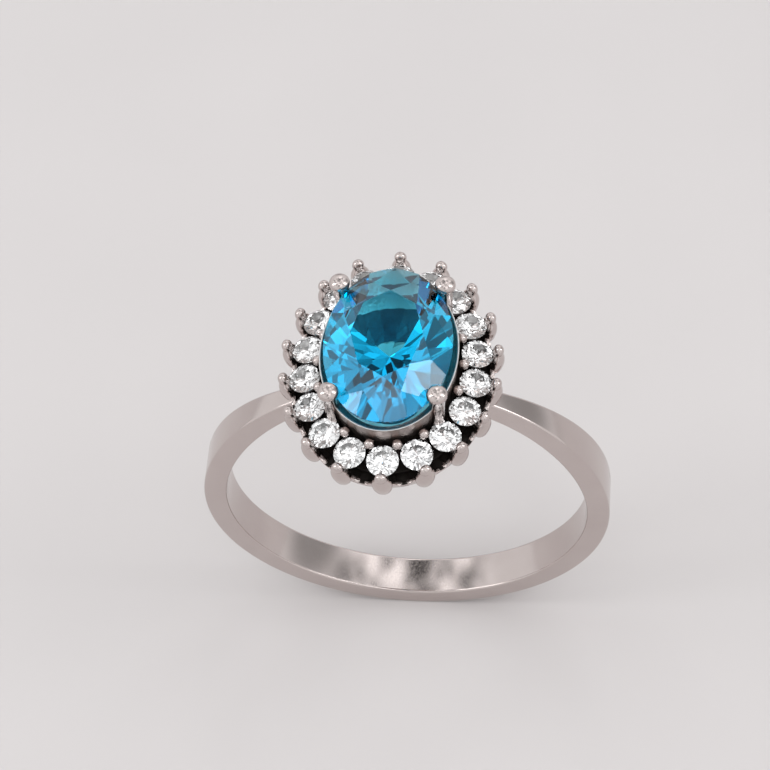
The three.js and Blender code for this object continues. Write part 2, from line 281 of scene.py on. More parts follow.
def recessShadeMaterial():
    # Silver painted near black: painted shade for the hollows under the stones and the gaps between the
    # parts
    material, tree = newMaterial("unpolished_recess_silver")
    coords = addNode(tree, "ShaderNodeTexCoord")
    shadeMottle = addNode(tree, "ShaderNodeTexNoise", inputs={
        "Vector": coords.outputs["Object"], "Scale": 2500, "Detail": 4})  # uneven painted shade in spots of 0.4 mm
    colour = addNode(tree, "ShaderNodeMix", {"data_type": "RGBA"}, {
        "Factor": shadeMottle.outputs["Fac"], "A": linearColour("#16120F"), "B": linearColour("#2C2622")})
    surface = addNode(tree, "ShaderNodeBsdfPrincipled", inputs={
        "Base Color": colour.outputs["Result"], "Metallic": 0.6, "Roughness": 0.55})
    addNode(tree, "ShaderNodeOutputMaterial", inputs={"Surface": surface.outputs[0]})
    return material


def cutGem(name, ior, tint, zone, zoneSize, absorb=None, density=0.0):
    # Polished crystal: sharp refraction, with very faint zones of colour from its growth or dye
    material, tree = newMaterial(name)
    coords = addNode(tree, "ShaderNodeTexCoord")
    zones = addNode(tree, "ShaderNodeTexNoise", inputs={
        "Vector": coords.outputs["Object"], "Scale": 1 / (zoneSize * mm), "Detail": 1})
    colour = addNode(tree, "ShaderNodeMix", {"data_type": "RGBA"}, {
        "Factor": zones.outputs["Fac"], "A": linearColour(tint), "B": linearColour(zone)})
    surface = addNode(tree, "ShaderNodeBsdfPrincipled", inputs={
        "Base Color": colour.outputs["Result"], "Roughness": 0.0, "IOR": ior, "Transmission Weight": 1})
    output = addNode(tree, "ShaderNodeOutputMaterial", inputs={"Surface": surface.outputs[0]})
    if absorb:
        inside = addNode(tree, "ShaderNodeVolumeAbsorption", inputs={
            "Color": linearColour(absorb), "Density": density})
        tree.links.new(inside.outputs[0], output.inputs["Volume"])
    return material


polishedSilver = rhodiumSilver("rhodium_plated_silver")
# The collet's outer wall: the same silver painted darker, as painted shade
paintedShadeWallSilver = rhodiumSilver("satin_silver_wall", "#A59A96", "#998E8A", 0.30)
# Silver painted brighter, as painted light: inside the collet, along its rim as a painted highlight, on the
# seat collars and on a ring of the floor
paintedLightSilver = rhodiumSilver("bright_cut_silver", "#F0EFEE", "#E8E6E5", 0.45)
# Silver painted dark and bluish, as painted shade in the middle of the well under the centre stone
paintedShadeWellSilver = rhodiumSilver("unpolished_well_silver", "#69717D", "#5A626E", 0.45)
# Near-black painted shade for the hollows and gaps under the stones
paintedRecessShade = recessShadeMaterial()
topaz = cutGem("swiss_blue_topaz", 1.62, "#FFFFFF", "#F4FBFF", 2.0, absorb="#00E9F6", density=700)
zirconia = cutGem("cubic_zirconia", 2.16, "#FFFFFF", "#FAFBFD", 0.8)
print("materials made")


def brilliantPlanes(cut, girdleSides):
    # Facet planes (normal, distance) of a brilliant whose girdle has radius 1; heights are true
    turn = tau / 16
    crown, pavilion, table = cut["crown"], cut["pavilion"], cut["table"]
    rim = cut["girdle"] / 2
    starRadius = table * math.cos(turn) + cut["starLength"] * (1 - table * math.cos(turn))
    starZ = rim + crown * (1 - starRadius * math.cos(turn)) / (1 - table)
    lowerRadius = 1 - cut["lowerLength"]
    lowerZ = -rim - pavilion * (1 - lowerRadius * math.cos(turn))

    def at(radius, angle, z):
        return Vector((radius * math.cos(angle), radius * math.sin(angle), z))

    def through(a, b, c):
        normal = (b - a).cross(c - a).normalized()
        distance = normal.dot(a)
        return (normal, distance) if distance > 0 else (-normal, -distance)

    planes = [(Vector((0, 0, 1)), rim + crown)]
    for k in range(8):
        main = 2 * k * turn
        for side in (turn, -turn):
            between, girdleA, girdleB = main + side, at(1, main, rim), at(1, main + side, rim)
            planes.append(through(girdleA, girdleB, at(starRadius, between, starZ)))
            low = at(lowerRadius, between, lowerZ)
            planes.append(through(at(1, main, -rim), at(1, between, -rim), low))
        across = Vector((-math.sin(main), math.cos(main), 0))
        planes.append(through(at(1, main, rim), at(table, main, rim + crown), at(1, main, rim) + across))
        planes.append(through(at(1, main, -rim), at(0, 0, -rim - pavilion), at(1, main, -rim) + across))
        star = at(starRadius, main + turn, starZ)
        planes.append(through(at(table, main, rim + crown), at(table, main + 2 * turn, rim + crown), star))
    for k in range(girdleSides):
        planes.append((at(1, tau * (k + 0.5) / girdleSides, 0), 1))
    return planes


# in shares of a stone's radius
weldDistance = 0.002  # facet corners nearer than this are one point
onPlane = 1e-7  # a corner nearer than this to a facet's plane lies on it
wideSquare = 9  # half the side of the square that each facet is cut from


def facetShape(planes, scale):
    # Each plane's polygon is a big square clipped by all the other planes
    corners, faces = [], []
    for normal, distance in planes:
        side = normal.orthogonal().normalized()
        other = normal.cross(side)
        middle = normal * distance
        polygon = [middle + side * x * wideSquare + other * y * wideSquare
                   for x, y in ((1, 1), (-1, 1), (-1, -1), (1, -1))]
        for cutNormal, cutDistance in planes:
            if cutNormal is normal or not polygon:
                continue
            clipped = []
            for a, b in zip(polygon, polygon[1:] + polygon[:1]):
                da, db = cutNormal.dot(a) - cutDistance, cutNormal.dot(b) - cutDistance
                if da <= onPlane:
                    clipped.append(a)
                if min(da, db) < -onPlane and max(da, db) > onPlane:
                    clipped.append(a.lerp(b, da / (da - db)))
            polygon = clipped
        face = []
        for point in polygon:
            near = (i for i, known in enumerate(corners) if (known - point).length < weldDistance)
            match = next(near, None)
            if match is None:
                match = len(corners)
                corners.append(point)
            if match not in face:
                face.append(match)
        if len(face) > 2:
            faces.append(face)
    return [Vector((point.x * scale[0], point.y * scale[1], point.z)) for point in corners], faces


centrePlanes = brilliantPlanes(centreCut, 96)


def centreGemShape(grow=0):
    scaled, faces = facetShape(centrePlanes, (stoneHalfWidth + grow, halfLength + grow))
    return [v + Vector((0, 0, girdleZ + math.copysign(grow, v.z))) for v in scaled], faces


centreGem = newPiece("centre_gem", *centreGemShape(), topaz, 0)
finishPiece(centreGem, "blue_topaz", "centre_stone")


def ovalArray():
    # Copies a piece to even points of a closed path, facing out and leaning; every second point is
    # left free, and points too near the "Clear of" object are skipped
    tree = bpy.data.node_groups.new("oval array", "GeometryNodeTree")
    sockets = tree.interface
    sockets.new_socket("Geometry", in_out="INPUT", socket_type="NodeSocketGeometry")
    for name, kind in (("Path", "Object"), ("Piece", "Object"), ("Count", "Int"), ("Phase", "Int"),
                       ("Lean", "Float"), ("Turn", "Float"), ("Seed", "Int"), ("Clear of", "Object"),
                       ("Clearance", "Float"), ("Recolour", "Bool"), ("Material", "Material")):
        sockets.new_socket(name, in_out="INPUT", socket_type="NodeSocket" + kind)
    sockets.new_socket("Geometry", in_out="OUTPUT", socket_type="NodeSocketGeometry")
    given = addNode(tree, "NodeGroupInput").outputs
    path = addNode(tree, "GeometryNodeObjectInfo", inputs={"Object": given["Path"]})
    piece = addNode(tree, "GeometryNodeObjectInfo", inputs={"Object": given["Piece"]})
    near = addNode(tree, "GeometryNodeObjectInfo", inputs={"Object": given["Clear of"]})
    twice = addNode(tree, "ShaderNodeMath", {"operation": "MULTIPLY"}, {0: given["Count"], 1: 2.0})
    points = addNode(tree, "GeometryNodeCurveToPoints", inputs={
        "Curve": path.outputs["Geometry"], "Count": twice.outputs[0]})
    order = addNode(tree, "GeometryNodeInputIndex")
    parity = addNode(tree, "ShaderNodeMath", {"operation": "MODULO"}, {0: order.outputs[0], 1: 2.0})
    chosen = addNode(tree, "FunctionNodeCompare", {"operation": "EQUAL"}, {
        "A": parity.outputs[0], "B": given["Phase"]})
    distance = addNode(tree, "GeometryNodeProximity", {"target_element": "FACES"}, {
        0: near.outputs["Geometry"]})
    clear = addNode(tree, "FunctionNodeCompare", {"operation": "GREATER_THAN"}, {
        "A": distance.outputs["Distance"], "B": given["Clearance"]})
    both = addNode(tree, "FunctionNodeBooleanMath", {"operation": "AND"}, {
        0: chosen.outputs[0], 1: clear.outputs[0]})
    facing = addNode(tree, "FunctionNodeAlignRotationToVector", {"axis": "Y", "pivot_axis": "Z"}, {
        "Vector": points.outputs["Tangent"]})
    copies = addNode(tree, "GeometryNodeInstanceOnPoints", inputs={
        "Points": points.outputs["Points"], "Selection": both.outputs[0],
        "Instance": piece.outputs["Geometry"], "Rotation": facing.outputs[0]})
    lean = addNode(tree, "ShaderNodeCombineXYZ", inputs={"Y": given["Lean"]})
    leaning = addNode(tree, "GeometryNodeRotateInstances", inputs={
        "Instances": copies.outputs[0], "Rotation": lean.outputs[0]})
    most = addNode(tree, "ShaderNodeCombineXYZ", inputs={"Z": given["Turn"]})
    chance = addNode(tree, "FunctionNodeRandomValue", {"data_type": "FLOAT_VECTOR"}, {
        "Max": most.outputs[0], "Seed": given["Seed"]})
    spun = addNode(tree, "GeometryNodeRotateInstances", inputs={
        "Instances": leaning.outputs[0], "Rotation": chance.outputs[0]})
    real = addNode(tree, "GeometryNodeRealizeInstances", inputs={"Geometry": spun.outputs[0]})
    finish = addNode(tree, "GeometryNodeSetMaterial", inputs={
        "Geometry": real.outputs[0], "Selection": given["Recolour"], "Material": given["Material"]})
    addNode(tree, "NodeGroupOutput", inputs={"Geometry": finish.outputs[0]})
    return tree


arrayTree = ovalArray()
haloPath = pathObject("halo path", haloOffset, haloZ)


def setInputs(modifier, wanted):
    # A modifier takes its inputs by the identifiers of their sockets
    for item in modifier.node_group.interface.items_tree:
        if item.in_out == "INPUT" and item.name in wanted:
            modifier[item.identifier] = wanted[item.name]


def arrayPiece(name, tool, material, **values):
    # values are the tree's inputs by name
    mesh = bpy.data.meshes.new(name)
    piece = bpy.data.objects.new(name, mesh)
    scene.collection.objects.link(piece)
    modifier = piece.modifiers.new("array", "NODES")
    modifier.node_group = arrayTree
    wanted = {"Path": haloPath, "Piece": tool, "Count": halo["count"], "Phase": 0, "Lean": 0.0,
              "Turn": 0.0, "Seed": 7, "Clear of": farMark, "Clearance": 0.0,
              "Recolour": bool(material), "Material": material or polishedSilver}
    wanted.update({key.replace("_", " ").capitalize(): value for key, value in values.items()})
    setInputs(modifier, wanted)
    settle(piece)
    removeTool(tool)
    return piece


# a mark far from the ring, for pieces that have nothing to keep clear of
farMark = newPiece("far mark", [(0, 0, 900), (1, 0, 900), (0, 1, 900)], [[0, 1, 2]], polishedSilver)

roundCut = {
    "crown": 0.2, "girdle": 0.05, "pavilion": 0.58,
    "table": 0.57, "starLength": 0.5, "lowerLength": 0.78,
}
roundPlanes = brilliantPlanes(roundCut, 32)
haloLean = math.radians(halo["lean"])


def roundGemTool(grow=0):
    verts, faces = facetShape(roundPlanes, (haloRadius + grow, haloRadius + grow))
    grown = [v + Vector((0, 0, math.copysign(grow, v.z))) for v in verts]
    return newPiece("round gem", grown, faces, zirconia, 0)


haloGems = arrayPiece("halo_gems", roundGemTool(), zirconia, lean=haloLean, turn=tau)
haloCutter = arrayPiece("halo cutter", roundGemTool(fit["gap"]), zirconia, lean=haloLean)
haloNumbers = [f"{i + 1:02d}" for i in range(halo["count"])]
finishPiece(haloGems, "cubic_zirconia", *["halo_stone_" + n for n in haloNumbers])
print("stones cut")


haloClaw = {
    "outside": 0.19, "above": 0.31, "beadRadius": 0.285,
    "length": 1.5, "bodyWidth": 0.93, "bodyDepth": 0.78,
    # from the foot up, as shares of half the width and of the length
    "outline": [(0, -1), (0.55, -0.975), (0.88, -0.82), (1, -0.58), (0.98, -0.4), (0.84, -0.26)],
    "neck": (0.84, -0.55),  # where the bead sits on the body, as shares of the bead's radius
}


def haloClawShape():
    half, bead, length = haloClaw["bodyWidth"] / 2, haloClaw["beadRadius"], haloClaw["length"]
    profile = [(width * half, height * length) for width, height in haloClaw["outline"]]
    profile.append(tuple(share * bead for share in haloClaw["neck"]))
    profile += [(bead * math.cos(a), bead * math.sin(a)) for a in beadAngles]
    profile.append((0, bead))
    place = Matrix.Translation((haloRadius + haloClaw["outside"], 0, haloClaw["above"]))
    return turned(profile, 28, place, haloClaw["bodyDepth"] / haloClaw["bodyWidth"], 3)


gemCutter = roundGemTool(fit["gap"])
tool = carve(newPiece("halo claw", *haloClawShape(), polishedSilver), gemCutter, sharpAngle=50)
haloClaws = arrayPiece("halo_claws", tool, polishedSilver, lean=haloLean)
finishPiece(haloClaws, "polished_silver", *["halo_claw_" + n for n in haloNumbers])

centreClaw = {
    "cornerAngle": 43, "offset": 0.22, "headHeight": 0.55, "headRadius": 0.47,
    "dome": 0.3, "wireRadius": 0.34, "flare": 0.8, "lean": 3, "reach": 4.2,
}
clawCorners = ["front_left", "front_right", "back_right", "back_left"]


def centreClawShape(signX, signY):
    c = centreClaw
    angle = signY * math.radians(c["cornerAngle"])
    point, outward = ovalPoint(angle if signX > 0 else math.pi - angle, c["offset"])
    point.z = girdleZ + c["headHeight"]
    lean = math.radians(c["lean"])
    axis = Vector((0, 0, 1)) * math.cos(lean) + outward * math.sin(lean)
    place = Matrix.Translation(point) @ axis.to_track_quat("Z", "Y").to_matrix().to_4x4()
    wire, head, flare, dome = c["wireRadius"], c["headRadius"], c["flare"], c["dome"]
    profile = [(0, -c["reach"]), (0, -c["reach"]), (wire, -c["reach"]), (wire, -c["reach"]),
               (wire, -1.3 * flare), (wire * 1.02, -flare), (0.5 * (wire + head) * 0.95, -0.5 * flare),
               (0.97 * head, -0.16 * flare), (head, -0.03 * flare), (0.94 * head, 0.3 * dome),
               (0.76 * head, 0.63 * dome), (0.45 * head, 0.89 * dome), (0, dome)]
    return turned(profile, 40, place, 1.0, 4)


signs = [(-1, -1), (1, -1), (1, 1), (-1, 1)]
centreClaws = newPiece("centre_claws", *joined(*[centreClawShape(x, y) for x, y in signs]), polishedSilver)
centreCutter = newPiece("centre cutter", *centreGemShape(fit["gap"]), topaz, 0)
carve(centreClaws, haloCutter, centreCutter, sharpAngle=50)
removeTool(centreCutter)
finishPiece(centreClaws, "polished_silver", *["centre_claw_" + corner for corner in clawCorners])
print("claws made")


# Seats, gallery and collet
gallery = {
    "drop": 1.03, "plate": 0.28, "openingWidth": 1.0, "openingLength": 1.6, "edgeInset": 0.09,
    "railWall": 0.22, "railRise": 0.42, "scallopRadius": 0.62, "scallopDepth": 0.38, "edge": 0.05,
    "underCollet": -0.3,  # offset where the floor's painted shade ends, under the wall of the collet
    # shares of the setting oval: the middle of the floor, painted in shade, and the edge of the well; the
    # ring between them is painted bright
    "paintedShadeShare": 0.60, "wellShare": 0.95,
}
plateTop = haloZ - gallery["drop"]
plateBottom = plateTop - gallery["plate"]
railOffset = haloOffset + haloRadius - gallery["edgeInset"]


def alongOval(offset):
    # The length of the oval up to each step of the sweep
    lengths = [0.0]
    points = [ovalPoint(tau * i / sweepSteps - math.pi / 2, offset)[0] for i in range(sweepSteps + 1)]
    for start, end in zip(points, points[1:]):
        lengths.append(lengths[-1] + (end - start).length)
    return lengths


haloLengths = alongOval(haloOffset)
railPitch = alongOval(railOffset)[-1] / halo["count"]


def railTopAt(share):
    # The rail dips in a round scallop between each pair of claws
    unit = haloLengths[round(share * sweepSteps) % sweepSteps] / haloLengths[-1] * halo["count"]
    fromMiddle = (unit % 1 - 0.5) * railPitch
    radius, top = gallery["scallopRadius"], gallery["railRise"]
    if abs(fromMiddle) < radius:
        top = min(top, top - gallery["scallopDepth"] + radius - math.sqrt(radius ** 2 - fromMiddle ** 2))
    return plateTop + top


def lightOpening(angle):
    across, along = gallery["openingWidth"] / 2, gallery["openingLength"] / 2
    return Vector((across * math.cos(angle), along * math.sin(angle), 0))


def wellEdge(angle):
    # Where the middle of the well under the centre stone, painted in shade, gives way to a ring of silver
    # painted bright
    share = gallery["paintedShadeShare"]
    return Vector((share * halfWidth * math.cos(angle), share * halfLength * math.sin(angle), 0))


def railSection():
    wall, edge = gallery["railWall"], gallery["edge"]
    outside = railOffset + gallery["railRise"] * math.tan(haloLean)

    def near(drop):
        return lambda share: railTopAt(share) - drop

    return [
        (railOffset - edge, plateBottom), (railOffset - 0.3 * edge, plateBottom + 0.3 * edge),
        (railOffset, plateBottom + edge), (outside, near(edge)), (outside - 0.3 * edge, near(0.3 * edge)),
        (outside - edge, railTopAt), (outside - wall + edge, railTopAt),
        (outside - wall + 0.3 * edge, near(0.3 * edge)), (outside - wall, near(edge)),
        (railOffset - wall, plateTop), (gallery["underCollet"], plateTop),
        (wellEdge, plateTop), (lightOpening, plateTop), (lightOpening, plateBottom),
    ]


def onFloor(least, most):
    # Picks the faces of the floor between two shares of the setting oval
    def test(centre, normal):
        share = math.hypot(centre.x / halfWidth, centre.y / halfLength)
        level = normal.z > 0.9 and abs(centre.z - plateTop) < gallery["edge"]
        return level and least < share <= most
    return test


seat = {
    "collar": 0.6, "collarFoot": 0.5, "collarDepth": 0.5, "post": 0.4, "socketRoom": 0.05, "lightHole": 0.2,
    "lip": 0.02, "lipDrop": 0.03,  # width of the collar's lip, and how far its outer edge is lower
    "chamfer": 0.04, "neck": 0.08,  # at the collar's foot, and the slope from there to the post
    "paintedShadeBelow": 0.05,  # under the collar, where the painted shade of the post begins
    "railThickness": 0.2, "railGap": 0.27, "railWidth": 0.86, "railEdge": 0.05,
}


def lightHoleShape():
    hole, depth = seat["lightHole"], 2 * gallery["drop"]
    corners = [(0, -depth), (0, -depth), (hole, -depth), (hole, -depth), (hole, 0), (hole, 0), (0, 0)]
    return turned(corners, 20, steps=1)


galleryRail = newPiece("gallery_rail", *ovalRing(railSection(), sweepSteps), polishedSilver)
drill = arrayPiece("light hole drill", newPiece("light hole", *lightHoleShape(), polishedSilver),
                   polishedSilver, lean=haloLean)
carve(galleryRail, drill)
removeTool(drill)
# The floor is painted: shade outside the well and in its middle, and light on the ring between
refinish(galleryRail, paintedRecessShade, onFloor(gallery["wellShare"], math.inf))
refinish(galleryRail, paintedLightSilver, onFloor(gallery["paintedShadeShare"], gallery["wellShare"]))
refinish(galleryRail, paintedShadeWellSilver, onFloor(0, gallery["paintedShadeShare"]))
finishPiece(galleryRail, "polished_silver", "gallery")


def socketAt(radius):
    # Height of the conical socket that the point of the stone sits in
    return -roundCut["girdle"] / 2 - roundCut["pavilion"] * (1 - (radius - seat["socketRoom"]) / haloRadius)


def cupShape():
    # A collar with a conical socket for the stone, on a narrower post with a hole through it
    names = ("collar", "collarFoot", "collarDepth", "post", "lightHole")
    top, foot, depth, post, hole = (seat[name] for name in names)
    below = (gallery["drop"] - fit["gap"]) / math.cos(haloLean) - post * math.tan(haloLean)
    rim, chamfer = top - seat["lip"], seat["chamfer"]
    corners = [(post, -below), (post, -depth - seat["neck"]), (foot - chamfer, -depth),
               (foot, -depth + chamfer), (top, socketAt(top) - seat["lipDrop"]), (rim, socketAt(rim)),
               (hole, socketAt(hole)), (hole, -below)]
    return turned(corners + corners[:1], 32, steps=1)


# The collar is silver painted bright as painted light, and the post under it is painted in shade
cup = newPiece("cup", *cupShape(), paintedLightSilver)
refinish(cup, paintedRecessShade, lambda centre, normal: centre.z < -seat["collarDepth"] - seat["paintedShadeBelow"])
seatCups = arrayPiece("seat_cups", cup, None, lean=haloLean)
innerBead = {"colletGap": 0.03, "radius": 0.24, "postRadius": 0.17, "above": 0.29, "clawClearance": 0.6}
collet = {
    "offset": 0.12, "rimDrop": 0.5, "wall": 0.42, "lean": 6, "edge": 0.06, "slope": 0.3, "soft": 0.05,
    "rimHighlightDepth": 0.06,  # depth of the painted highlight along the rim
    "levelFrom": 0.3,  # the height of a normal, from which a face counts as level
}
rimZ = girdleZ - collet["rimDrop"]


def colletOffsetAt(z):
    return collet["offset"] - (rimZ - z) * math.tan(math.radians(collet["lean"]))


def beadShape():
    radius, post, above = innerBead["radius"], innerBead["postRadius"], innerBead["above"]
    foot = -gallery["drop"] + fit["gap"]
    profile = [(0, foot), (post, foot), (post, -0.6 * gallery["drop"]),
               (post, above - 1.5 * radius), (0.8 * radius, above - 0.6 * radius)]
    profile += [(radius * math.cos(a), above + radius * math.sin(a)) for a in beadAngles]
    return turned(profile + [(0, above + radius)], 24, steps=3)


beadOffset = colletOffsetAt(haloZ + innerBead["above"]) + innerBead["colletGap"] + innerBead["radius"]
verts, faces = beadShape()
inwards = Vector((beadOffset - haloOffset, 0, 0))
tool = newPiece("bead", [v + inwards for v in verts], faces, polishedSilver, 60)
innerBeads = arrayPiece("inner_beads", tool, polishedSilver, phase=1, clear_of=centreClaws,
                        clearance=innerBead["clawClearance"] * mm)
carve(innerBeads, haloCutter, sharpAngle=60)

railInner = colletOffsetAt(plateTop) + seat["railGap"]
railOuter, railTop = railInner + seat["railWidth"], plateTop + seat["railThickness"]
lowRail = ovalRing(roundedSection([
    (railInner, plateTop), (railOuter, plateTop), (railOuter, railTop), (railInner, railTop)],
    seat["railEdge"]), plainSteps)
# The low rail is painted in shade
seatRail = newPiece("seat_rail", *lowRail, paintedRecessShade)
for piece in (seatCups, innerBeads, seatRail):
    finishPiece(piece, "polished_silver", "seat_ring")


def insideOrRim(centre, normal):
    # The upright inner side of the collet, painted bright as painted light, and its narrow rim, which
    # carries a painted highlight
    if normal.z > collet["levelFrom"]:
        return centre.z > rimZ - collet["rimHighlightDepth"]
    return normal.dot(Vector((centre.x, centre.y, 0))) < 0


rimOffset, footOffset, wall = collet["offset"], colletOffsetAt(plateTop), collet["wall"]
colletSection = roundedSection([
    (footOffset, plateTop), (rimOffset, rimZ), (rimOffset - collet["edge"], rimZ),
    (rimOffset - wall, rimZ - collet["slope"]), (footOffset - wall, plateTop)], collet["soft"], 4)
# The outer wall is silver painted darker as painted shade; its inside and rim are painted bright as painted
# light
colletWall = newPiece("collet_wall", *ovalRing(colletSection, plainSteps), paintedShadeWallSilver)
refinish(colletWall, paintedLightSilver, insideOrRim)
finishPiece(colletWall, "polished_silver", "centre_collet")
for tool in (gemCutter, haloCutter):
    removeTool(tool)
print("head built")


bandLow, bandHigh = (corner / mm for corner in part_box("shank"))
band = {
    "thickness": 1.1, "widthAtHead": 0.75, "taperFrom": 12, "taperTo": 80,
    "edge": 0.14, "endAngle": 19.5, "steps": 400,
}
bandRadius = (bandHigh.x - bandLow.x) / 2
bandWidth = bandHigh.y - bandLow.y


def bandTree():
    # Sweeps a soft-cornered section round the finger and draws its sides in towards the head
    tree = bpy.data.node_groups.new("tapered band", "GeometryNodeTree")
    sockets = tree.interface
    sockets.new_socket("Geometry", in_out="INPUT", socket_type="NodeSocketGeometry")
    for name in ("Full width", "Head width", "Taper from", "Taper to"):
        sockets.new_socket(name, in_out="INPUT", socket_type="NodeSocketFloat")
    sockets.new_socket("Section", in_out="INPUT", socket_type="NodeSocketObject")
    sockets.new_socket("Material", in_out="INPUT", socket_type="NodeSocketMaterial")
    sockets.new_socket("Geometry", in_out="OUTPUT", socket_type="NodeSocketGeometry")
    given = addNode(tree, "NodeGroupInput").outputs
    section = addNode(tree, "GeometryNodeObjectInfo", inputs={"Object": given["Section"]})
    swept = addNode(tree, "GeometryNodeCurveToMesh", inputs={
        "Curve": given["Geometry"], "Profile Curve": section.outputs["Geometry"], "Fill Caps": True})
    position = addNode(tree, "GeometryNodeInputPosition")
    xyz = addNode(tree, "ShaderNodeSeparateXYZ", inputs={0: position.outputs[0]})
    angle = addNode(tree, "ShaderNodeMath", {"operation": "ARCTAN2"}, {
        0: xyz.outputs["X"], 1: xyz.outputs["Z"]})
    fromTop = addNode(tree, "ShaderNodeMath", {"operation": "ABSOLUTE"}, {0: angle.outputs[0]})
    lost = addNode(tree, "ShaderNodeMath", {"operation": "SUBTRACT"}, {
        0: given["Full width"], 1: given["Head width"]})
    half = addNode(tree, "ShaderNodeMath", {"operation": "MULTIPLY"}, {0: lost.outputs[0], 1: 0.5})
    inset = addNode(tree, "ShaderNodeMapRange", {"interpolation_type": "SMOOTHSTEP"}, {
        "Value": fromTop.outputs[0], "From Min": given["Taper from"], "From Max": given["Taper to"],
        "To Min": half.outputs[0], "To Max": 0.0})
    side = addNode(tree, "ShaderNodeMath", {"operation": "SIGN"}, {0: xyz.outputs["Y"]})
    shift = addNode(tree, "ShaderNodeMath", {"operation": "MULTIPLY"}, {
        0: side.outputs[0], 1: inset.outputs[0]})
    inwards = addNode(tree, "ShaderNodeMath", {"operation": "MULTIPLY"}, {0: shift.outputs[0], 1: -1.0})
    offset = addNode(tree, "ShaderNodeCombineXYZ", inputs={"Y": inwards.outputs[0]})
    moved = addNode(tree, "GeometryNodeSetPosition", inputs={
        "Geometry": swept.outputs[0], "Offset": offset.outputs[0]})
    real = addNode(tree, "GeometryNodeRealizeInstances", inputs={"Geometry": moved.outputs[0]})
    finish = addNode(tree, "GeometryNodeSetMaterial", inputs={
        "Geometry": real.outputs[0], "Material": given["Material"]})
    addNode(tree, "NodeGroupOutput", inputs={"Geometry": finish.outputs[0]})
    return tree


def polyCurve(name, points, cyclic):
    curve = bpy.data.curves.new(name, "CURVE")
    curve.dimensions = "3D"
    spline = curve.splines.new("POLY")
    spline.points.add(len(points) - 1)
    for point, place in zip(spline.points, points):
        point.co = (*(Vector(place).to_3d() * mm), 1)
    spline.use_cyclic_u = cyclic
    item = bpy.data.objects.new(name, curve)
    scene.collection.objects.link(item)
    return item


def taperedBand():
    middle = bandRadius - band["thickness"] / 2
    first = math.radians(band["endAngle"])
    sweep = tau - 2 * first
    angles = [first + sweep * i / band["steps"] for i in range(band["steps"] + 1)]
    arc = [(middle * math.sin(angle), 0, middle * math.cos(angle)) for angle in angles]
    halfThick, halfWide = band["thickness"] / 2, bandWidth / 2
    section = polyCurve("band section", roundedSection([
        (-halfWide, -halfThick), (halfWide, -halfThick), (halfWide, halfThick), (-halfWide, halfThick)],
        band["edge"], 5), True)
    piece = polyCurve("band", arc, False)
    modifier = piece.modifiers.new("band", "NODES")
    modifier.node_group = bandTree()
    wanted = {"Full width": bandWidth * mm, "Head width": band["widthAtHead"] * mm,
              "Taper from": math.radians(band["taperFrom"]), "Taper to": math.radians(band["taperTo"]),
              "Section": section, "Material": polishedSilver}
    setInputs(modifier, wanted)
    depsgraph = bpy.context.evaluated_depsgraph_get()
    mesh = bpy.data.meshes.new_from_object(piece.evaluated_get(depsgraph), depsgraph=depsgraph)
    removeTool(piece)
    removeTool(section)
    made = bpy.data.objects.new("band", mesh)
    scene.collection.objects.link(made)
    softenShading(mesh, 30)
    return made


finishPiece(taperedBand(), "polished_silver", "shank")

# its top keeps a gap to the plate of the gallery, and its underside follows the finger
saddle = {"galleryGap": 0.27, "innerOffset": -0.55, "outerOffset": 0.45, "edge": 0.08}


def saddleShape():
    # The oval frame bends to the finger: its heights follow a circle round the finger
    bore = bandRadius - band["thickness"]
    top = plateBottom - saddle["galleryGap"]
    inner, outer, edge = saddle["innerOffset"], saddle["outerOffset"], saddle["edge"]
    flat = roundedSection([(inner, 0.0), (outer, 0.0), (outer, 1.0), (inner, 1.0)], edge, 4)
    verts, faces = ovalRing([(offset, height) for offset, height in flat], plainSteps)
    bent = []
    for v in verts:
        low = math.sqrt(bore ** 2 - v.x ** 2)
        high = math.sqrt(top ** 2 - v.x ** 2)
        bent.append(Vector((v.x, v.y, low + (high - low) * v.z)))
    return bent, faces


finishPiece(newPiece("saddle_frame", *saddleShape(), polishedSilver, 40), "polished_silver", "saddle")
for tool in (haloPath, farMark):
    removeTool(tool)
print("band and saddle built")


def paleFloor():
    # Smooth matt card: nearly white, with a very faint mottle
    material, tree = newMaterial("pale_card")
    coords = addNode(tree, "ShaderNodeTexCoord")
    mottle = addNode(tree, "ShaderNodeTexNoise", inputs={"Vector": coords.outputs["Object"], "Scale": 60})
    colour = addNode(tree, "ShaderNodeMix", {"data_type": "RGBA"}, {
        "Factor": mottle.outputs["Fac"], "A": linearColour("#D6D2D2"), "B": linearColour("#D0CCCC")})
    surface = addNode(tree, "ShaderNodeBsdfPrincipled", inputs={
        "Base Color": colour.outputs["Result"], "Roughness": 0.7})
    addNode(tree, "ShaderNodeOutputMaterial", inputs={"Surface": surface.outputs[0]})
    return material


floorReach = 600
floorCorners = [(x * floorReach, y * floorReach, bandLow.z) for x, y in ((-1, -1), (1, -1), (1, 1), (-1, 1))]
floor = newPiece("floor", floorCorners, [[0, 1, 2, 3]], paleFloor(), 0)

